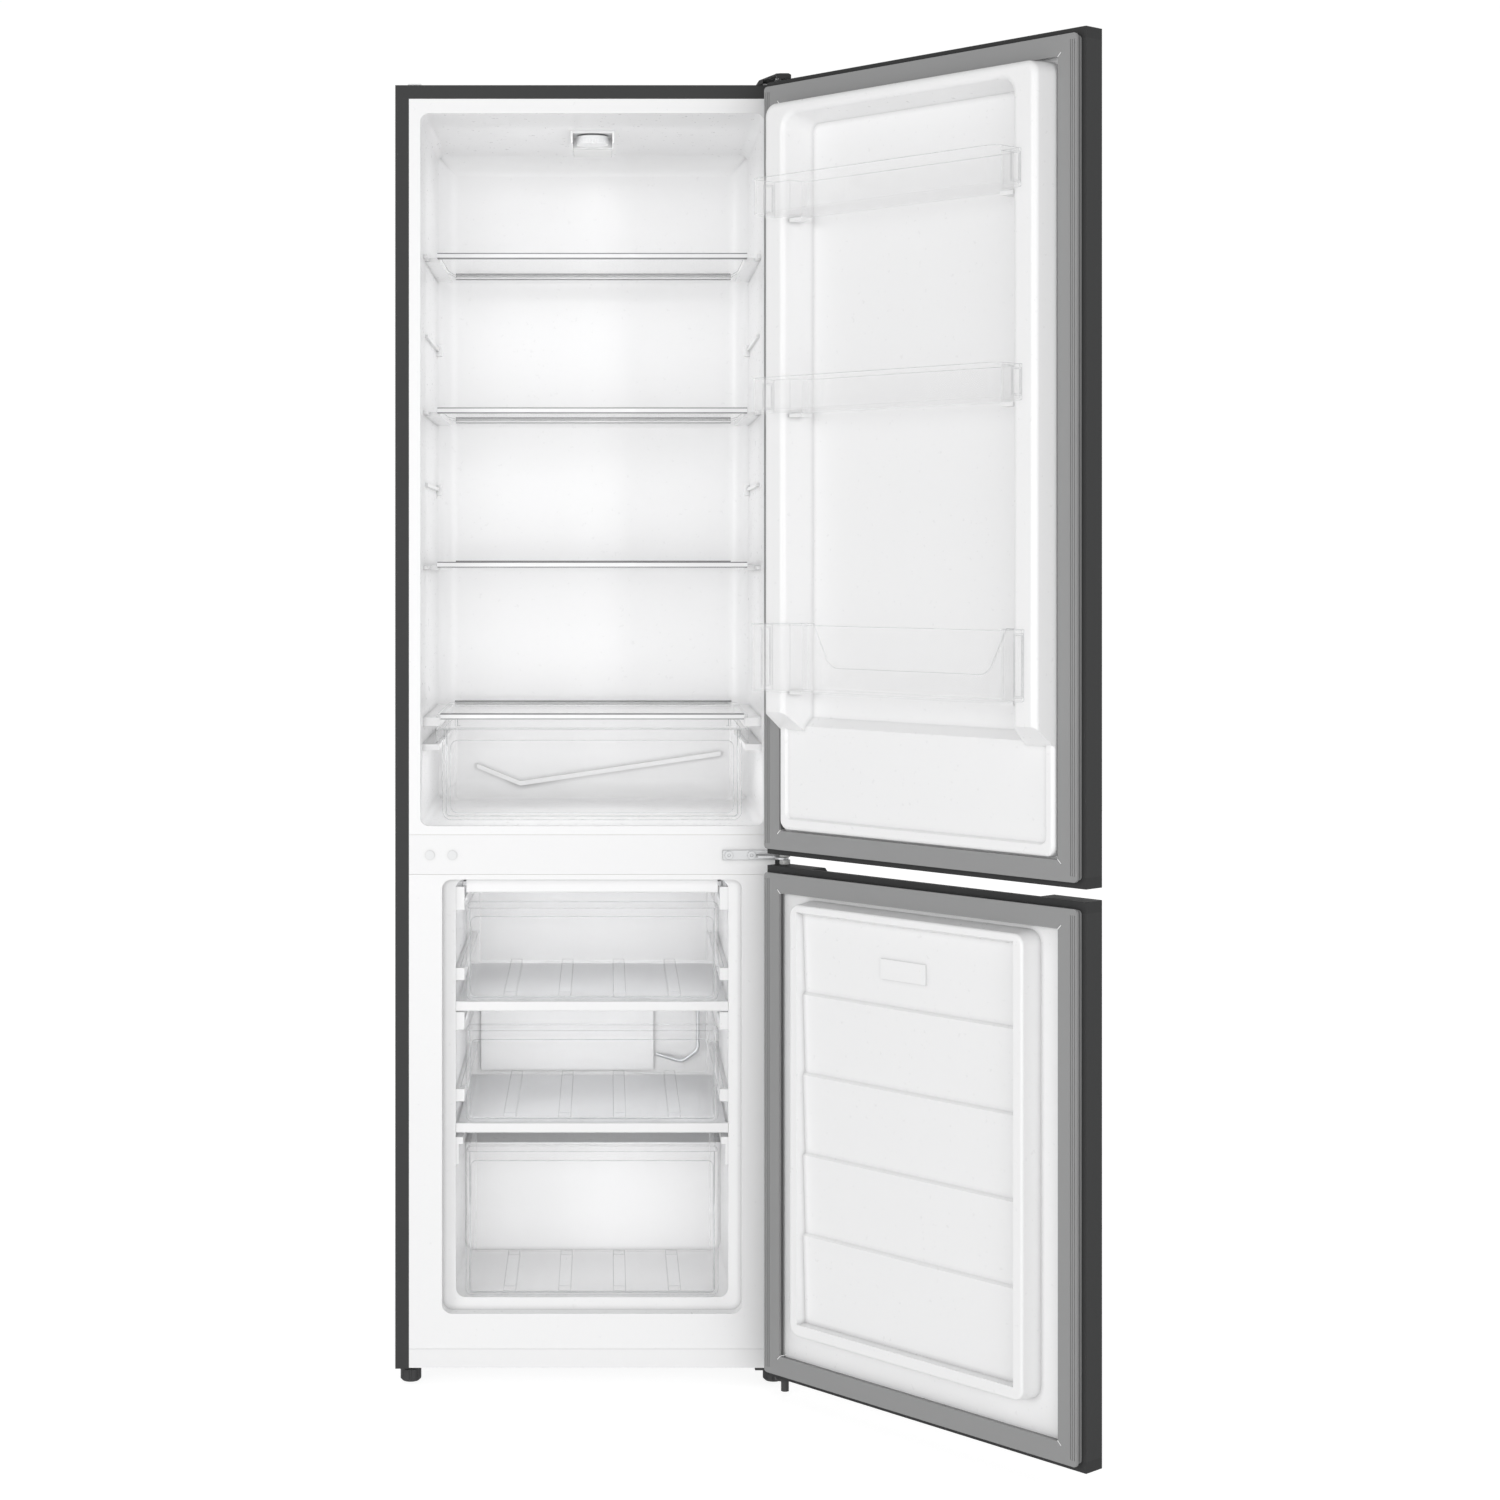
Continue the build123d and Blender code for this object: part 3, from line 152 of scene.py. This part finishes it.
def sheer(name, colour, haze=0.03, rough=0.08, edge=0.4, streak=40.0, edge_shade_colour=(0.34, 0.35, 0.36),
          rim=0.0016, rim_amount=0.85):
    """Thin clear plastic or glass: see-through face on, glossy at a slant, with a painted grey shade line
    along its edges.
    """
    material, nodes, links, shader, output = new_material(name)
    streaks = texture(nodes, links, "ShaderNodeTexNoise", streak, Detail=5.0)
    base = tinted(nodes, links, streaks.outputs["Fac"], scaled(colour, 0.96), scaled(colour, 1.03))
    links.new(base, shader.inputs["Base Color"])
    gloss = spread(nodes, links, streaks.outputs["Fac"], rough * 0.8, rough * 1.3)
    links.new(gloss, shader.inputs["Roughness"])
    bump(nodes, links, streaks.outputs["Fac"], shader, 0.05, 0.0002)
    clear = nodes.new("ShaderNodeBsdfTransparent")
    tint = tinted(nodes, links, streaks.outputs["Fac"], (0.992, 0.992, 0.992), (0.998, 0.998, 0.998))
    links.new(tint, clear.inputs["Color"])
    slant = nodes.new("ShaderNodeFresnel")
    slant.inputs["IOR"].default_value = 1.45
    amount = nodes.new("ShaderNodeMapRange")
    links.new(slant.outputs["Fac"], amount.inputs["Value"])
    amount.inputs["From Min"].default_value = 0.03
    amount.inputs["From Max"].default_value = 0.8
    amount.inputs["To Min"].default_value = haze
    amount.inputs["To Max"].default_value = max(haze, edge)
    faces = nodes.new("ShaderNodeMixShader")
    links.new(amount.outputs["Result"], faces.inputs["Fac"])
    links.new(clear.outputs["BSDF"], faces.inputs[1])
    links.new(shader.outputs["BSDF"], faces.inputs[2])
    # painted shade: a grey line along every edge, standing in for how clear plastic and glass look dark at
    # their edges
    line = nodes.new("ShaderNodeBsdfPrincipled")
    line_colour = tinted(
        nodes, links, streaks.outputs["Fac"], scaled(edge_shade_colour, 0.75), scaled(edge_shade_colour, 1.3)
    )
    links.new(line_colour, line.inputs["Base Color"])
    line.inputs["Roughness"].default_value = 0.25
    mask = edge_mask(nodes, links, rim)
    share = spread(nodes, links, mask, 0.0, rim_amount)
    whole = nodes.new("ShaderNodeMixShader")
    links.new(share, whole.inputs["Fac"])
    links.new(faces.outputs["Shader"], whole.inputs[1])
    links.new(line.outputs["BSDF"], whole.inputs[2])
    links.new(whole.outputs["Shader"], output.inputs["Surface"])
    return material


def banded(name, colour, dark, lines, rough=0.2):
    """A clear moulded strip drawn opaque: pale in the middle, with painted shade as dark bands along its
    upper and lower edges.
    """
    material, nodes, links, shader, _ = new_material(name)
    place = nodes.new("ShaderNodeTexCoord")
    split = nodes.new("ShaderNodeSeparateXYZ")
    links.new(place.outputs["Generated"], split.inputs["Vector"])
    # painted shade: a stepped ramp on height gives dark bands at the strip's top and bottom edges
    ramp = nodes.new("ShaderNodeValToRGB")
    ramp.color_ramp.interpolation = "CONSTANT"
    links.new(split.outputs["Z"], ramp.inputs["Fac"])
    stops = ramp.color_ramp.elements
    stops[0].position, stops[0].color = 0.0, (*dark, 1)
    stops[1].position, stops[1].color = lines[0], (*colour, 1)
    last = stops.new(lines[1])
    last.color = (*dark, 1)
    streaks = texture(nodes, links, "ShaderNodeTexNoise", 30.0, Detail=4.0)
    fade = nodes.new("ShaderNodeMix")
    fade.data_type = "RGBA"
    fade.blend_type = "MULTIPLY"
    fade.inputs["Factor"].default_value = 1.0
    links.new(ramp.outputs["Color"], fade.inputs["A"])
    links.new(tinted(nodes, links, streaks.outputs["Fac"], (0.97,) * 3, (1.0,) * 3), fade.inputs["B"])
    links.new(fade.outputs["Result"], shader.inputs["Base Color"])
    gloss = spread(nodes, links, streaks.outputs["Fac"], rough * 0.8, rough * 1.3)
    links.new(gloss, shader.inputs["Roughness"])
    return material


def brushed(name, colour, rough=0.3, along=(1, 60, 60), metallic=1.0, edge_shade_colour=None):
    """Rolled or plated steel, with fine lines along one axis, and painted shade darkening its edges if asked
    for.
    """
    material, nodes, links, shader, _ = new_material(name)
    lines = texture(nodes, links, "ShaderNodeTexNoise", 60.0, along, Detail=6.0)
    base = tinted(nodes, links, lines.outputs["Fac"], scaled(colour, 0.88), scaled(colour, 1.08))
    if edge_shade_colour:
        # painted shade: the edge mask blends in a dark colour along the edges
        edges = nodes.new("ShaderNodeMix")
        edges.data_type = "RGBA"
        links.new(edge_mask(nodes, links, 0.0012), edges.inputs["Factor"])
        links.new(base, edges.inputs["A"])
        edges.inputs["B"].default_value = (*edge_shade_colour, 1)
        base = edges.outputs["Result"]
    links.new(base, shader.inputs["Base Color"])
    gloss = spread(nodes, links, lines.outputs["Fac"], rough * 0.8, rough * 1.25)
    links.new(gloss, shader.inputs["Roughness"])
    bump(nodes, links, lines.outputs["Fac"], shader, 0.12, 0.0001)
    shader.inputs["Metallic"].default_value = metallic
    return material


def dress(material, *nodes):
    """Gives CAD nodes a material, in every slot they have."""
    for node in nodes:
        mesh_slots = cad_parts[node].material_slots
        for mesh_slot in mesh_slots:
            mesh_slot.material = material


# ---------------------------------------------------------------- materials
dark_steel = paint("dark_steel", (0.055, 0.0555, 0.056), rough=0.5, relief=0.12, vary=0.03, shine=0.07)
cap_dark = paint("cap_dark", (0.048, 0.0485, 0.049), rough=0.55, grain=1400, relief=0.3, shine=0.08)
white_liner = moulded("white_liner", (0.878, 0.878, 0.881))
# painted shade here also darkens the gaps between these parts and the parts beside them
white_front = moulded("white_front", (0.858, 0.858, 0.862), rough=0.3, alone=False)
white_trim = moulded("white_trim", (0.874, 0.874, 0.878), rough=0.25)
gasket_grey = paint("gasket_grey", (0.28, 0.281, 0.282), rough=0.55, grain=1500, relief=0.25, vary=0.03)
foam = paint("foam", (0.80, 0.68, 0.42), rough=0.9, grain=220, relief=1.0, vary=0.12)
back_paint = paint("back_paint", (0.42, 0.43, 0.44), rough=0.45, relief=0.2)
# the zinc brackets and screws get painted shade along their edges
zinc = brushed("zinc", (0.46, 0.465, 0.47), rough=0.42, edge_shade_colour=(0.10, 0.10, 0.105))
pin_metal = paint("pin_metal", (0.055, 0.055, 0.056), rough=0.45, grain=900, relief=0.3, metallic=0.3)
galvanised = brushed("galvanised", (0.50, 0.51, 0.52), rough=0.45, along=(20, 1, 20))
dark_feet = paint("dark_feet", (0.03, 0.03, 0.031), rough=0.5, grain=1200, relief=0.4)
black_enamel = paint("black_enamel", (0.014, 0.014, 0.015), rough=0.3, grain=700, relief=0.25)
rubber_black = paint("rubber_black", (0.03, 0.03, 0.03), rough=0.7, grain=1500, relief=0.4)
pan_black = paint("pan_black", (0.03, 0.03, 0.032), rough=0.4, grain=1300, relief=0.3)
bushing_grey = paint("bushing_grey", (0.55, 0.55, 0.54), rough=0.4, grain=900)
plug_white = paint("plug_white", (0.78, 0.785, 0.79), rough=0.4, grain=900, vary=0.02)
dial_white = paint("dial_white", (0.80, 0.805, 0.81), rough=0.32, grain=900, relief=0.1, vary=0.02)
plate_white = paint("plate_white", (0.79, 0.795, 0.805), rough=0.4, grain=500, relief=0.1, vary=0.02)
aluminium = brushed("aluminium", (0.80, 0.81, 0.82), rough=0.32, along=(30, 30, 1))
# the clear parts below carry a painted grey shade line along their edges
shelf_glass = sheer(
    "shelf_glass", (0.955, 0.96, 0.96), haze=0.006, rough=0.04, edge=0.1, streak=6,
    edge_shade_colour=(0.26, 0.27, 0.27), rim=0.0022, rim_amount=0.8,
)
cover_glass = sheer(
    "cover_glass", (0.955, 0.96, 0.96), haze=0.006, rough=0.04, edge=0.1, streak=6,
    edge_shade_colour=(0.5, 0.51, 0.51), rim_amount=0.55,
)
crisper_clear = sheer("crisper_clear", (0.955, 0.955, 0.96), haze=0.006, edge=0.14)
drawer_clear = sheer("drawer_clear", (0.955, 0.955, 0.96), haze=0.008, edge=0.2)
tray_clear = sheer(
    "tray_clear", (0.955, 0.955, 0.96), haze=0.005, edge=0.22, edge_shade_colour=(0.48, 0.49, 0.50), rim_amount=0.75,
)
# painted shade: the dark bands stand in for the shaded look of the clear trims' edges
trim_clear = banded("trim_clear", (0.90, 0.90, 0.905), (0.20, 0.20, 0.205), (0.14, 0.73))
lens_frosted = sheer("lens_frosted", (0.95, 0.955, 0.95), haze=0.6, rough=0.35, edge=0.85)

dress(dark_steel, "cabinet_shell", "fridge_door_skin", "freezer_door_skin")
dress(cap_dark, "fridge_door_caps", "freezer_door_caps", "top_hinge_cover", "terminal_cover")
dress(white_liner, "fridge_liner", "freezer_liner", "fridge_door_liner", "freezer_door_liner")
dress(white_front, "beam_cover", "plinth", "thermostat_housing")
dress(white_trim, "freezer_trims")
dress(trim_clear, "shelf_1_trims", "shelf_2_trims", "shelf_3_trims", "crisper_cover_trims")
dress(gasket_grey, "fridge_door_gasket", "freezer_door_gasket")
dress(foam, "insulation", "fridge_door_foam", "freezer_door_foam")
dress(back_paint, "back_panel")
dress(zinc, "top_hinge_bracket", "middle_hinge_bracket", "hinge_screws")
dress(pin_metal, "bottom_hinge_bracket", "hinge_pins")
dress(galvanised, "bottom_panel", "base_rails", "compressor_plate")
dress(dark_feet, "foot_left", "foot_right", "roller_left", "roller_right")
dress(black_enamel, "compressor", "condenser_tube", "condenser_wires")
dress(rubber_black, "compressor_mounts")
dress(pan_black, "evaporation_pan")
dress(bushing_grey, "fridge_door_bushings", "freezer_door_bushings")
dress(plug_white, "blanking_plugs")
dress(dial_white, "thermostat_dial")
dress(plate_white, "evaporator_plates")
dress(aluminium, "evaporator_tube")
dress(shelf_glass, "shelf_1_glass", "shelf_2_glass", "shelf_3_glass")
dress(cover_glass, "crisper_cover_glass")
dress(crisper_clear, "crisper_drawer")
dress(drawer_clear, "freezer_drawer_1", "freezer_drawer_2", "freezer_drawer_3")
dress(tray_clear, "tray_top", "tray_middle", "tray_bottom")
dress(lens_frosted, "lamp_lens")

# ---------------------------------------------------------------- floor, backdrop and light
floor_material, nodes, links, shader, output = new_material("floor")
speckle = texture(nodes, links, "ShaderNodeTexNoise", 30.0, Detail=4.0)
links.new(
    tinted(nodes, links, speckle.outputs["Fac"], (0.28, 0.28, 0.28), (0.31, 0.31, 0.31)),
    shader.inputs["Base Color"],
)
shader.inputs["Roughness"].default_value = 0.7
glow = nodes.new("ShaderNodeEmission")
view = nodes.new("ShaderNodeLightPath")
links.new(spread(nodes, links, view.outputs["Is Camera Ray"], 0.45, 0.86), glow.inputs["Strength"])
sum_of_both = nodes.new("ShaderNodeAddShader")
links.new(shader.outputs["BSDF"], sum_of_both.inputs[0])
links.new(glow.outputs["Emission"], sum_of_both.inputs[1])
links.new(sum_of_both.outputs["Shader"], output.inputs["Surface"])
bpy.ops.mesh.primitive_plane_add(size=14, location=(0, 1.5, -0.0005))
floor = bpy.context.object
floor.name = "floor"
floor.data.materials.append(floor_material)

world = bpy.data.worlds.new("studio")
scene.world = world
world.use_nodes = True
sky, sky_links = world.node_tree.nodes, world.node_tree.links
light_path = sky.new("ShaderNodeLightPath")
seen = light_path.outputs["Is Camera Ray"]
for kind in ("Is Transmission Ray", "Is Glossy Ray"):
    either = sky.new("ShaderNodeMath")
    either.operation = "MAXIMUM"
    sky_links.new(seen, either.inputs[0])
    sky_links.new(light_path.outputs[kind], either.inputs[1])
    seen = either.outputs["Value"]
level = sky.new("ShaderNodeMapRange")
sky_links.new(seen, level.inputs["Value"])
level.inputs["To Min"].default_value = 0.40
level.inputs["To Max"].default_value = 1.02
sky_links.new(level.outputs["Result"], sky["Background"].inputs["Strength"])
sky["Background"].inputs["Color"].default_value = (1, 1, 1, 1)


def softbox(name, location, target, size, power):
    """A large square light aimed at a point."""
    data = bpy.data.lights.new(name, "AREA")
    data.shape = "RECTANGLE"
    data.size, data.size_y = size
    data.energy = power
    lamp = bpy.data.objects.new(name, data)
    scene.collection.objects.link(lamp)
    lamp.location = location
    direction = [t - p for t, p in zip(target, location)]
    lamp.rotation_euler = Vector(direction).to_track_quat("-Z", "Y").to_euler()
    return lamp


def fill(name, location, target, size, power, angle=180):
    """A soft light inside the cabinet that is not seen itself, nor in reflections."""
    lamp = softbox(name, location, target, size, power)
    lamp.data.spread = math.radians(angle)
    lamp.visible_camera = False
    lamp.visible_glossy = False


softbox("front", (0.2, -4.8, 1.2), (0.0, 0, 0.95), (3.4, 2.6), 48)
softbox("left", (-3.0, -3.5, 1.3), (0.3, -0.1, 1.0), (2.2, 2.8), 65)
softbox("right", (2.6, -4.0, 1.2), (0.4, -0.2, 0.9), (2.0, 2.4), 34)
# fills just behind the front trims: depth, height, drop of the aim, size, power and angle
for name, y, z, drop, size, power, angle in (
    ("fridge_fill", 0.112, 1.267, 0.0, (0.44, 0.95), 0.33, 180),
    ("crisper_fill", 0.045, 0.860, 0.35, (0.44, 0.07), 0.15, 180),
    ("freezer_fill", 0.034, 0.522, 0.0, (0.35, 0.33), 0.58, 125),
    ("low_fill", 0.034, 0.250, 0.12, (0.35, 0.17), 0.17, 150),
):
    fill(name, (0, y, z), (0, y + 0.4, z - drop), size, power, angle)
# fills for the fridge's side walls
for name, side, power in (("left_wall_fill", -1, 0.30), ("right_wall_fill", 1, 0.04)):
    fill(name, (side * -0.06, 0.22, 1.30), (side, 0.22, 1.30), (0.26, 0.84), power)
fill("crisper_top_fill", (0, 0.19, 0.899), (0, 0.13, 0.77), (0.38, 0.12), 0.10)
# the fridge compartment's own lamp
softbox("cabinet_lamp", (0, 0.2, 1.738), (0, 0.2, 1.0), (0.05, 0.05), 0.12)
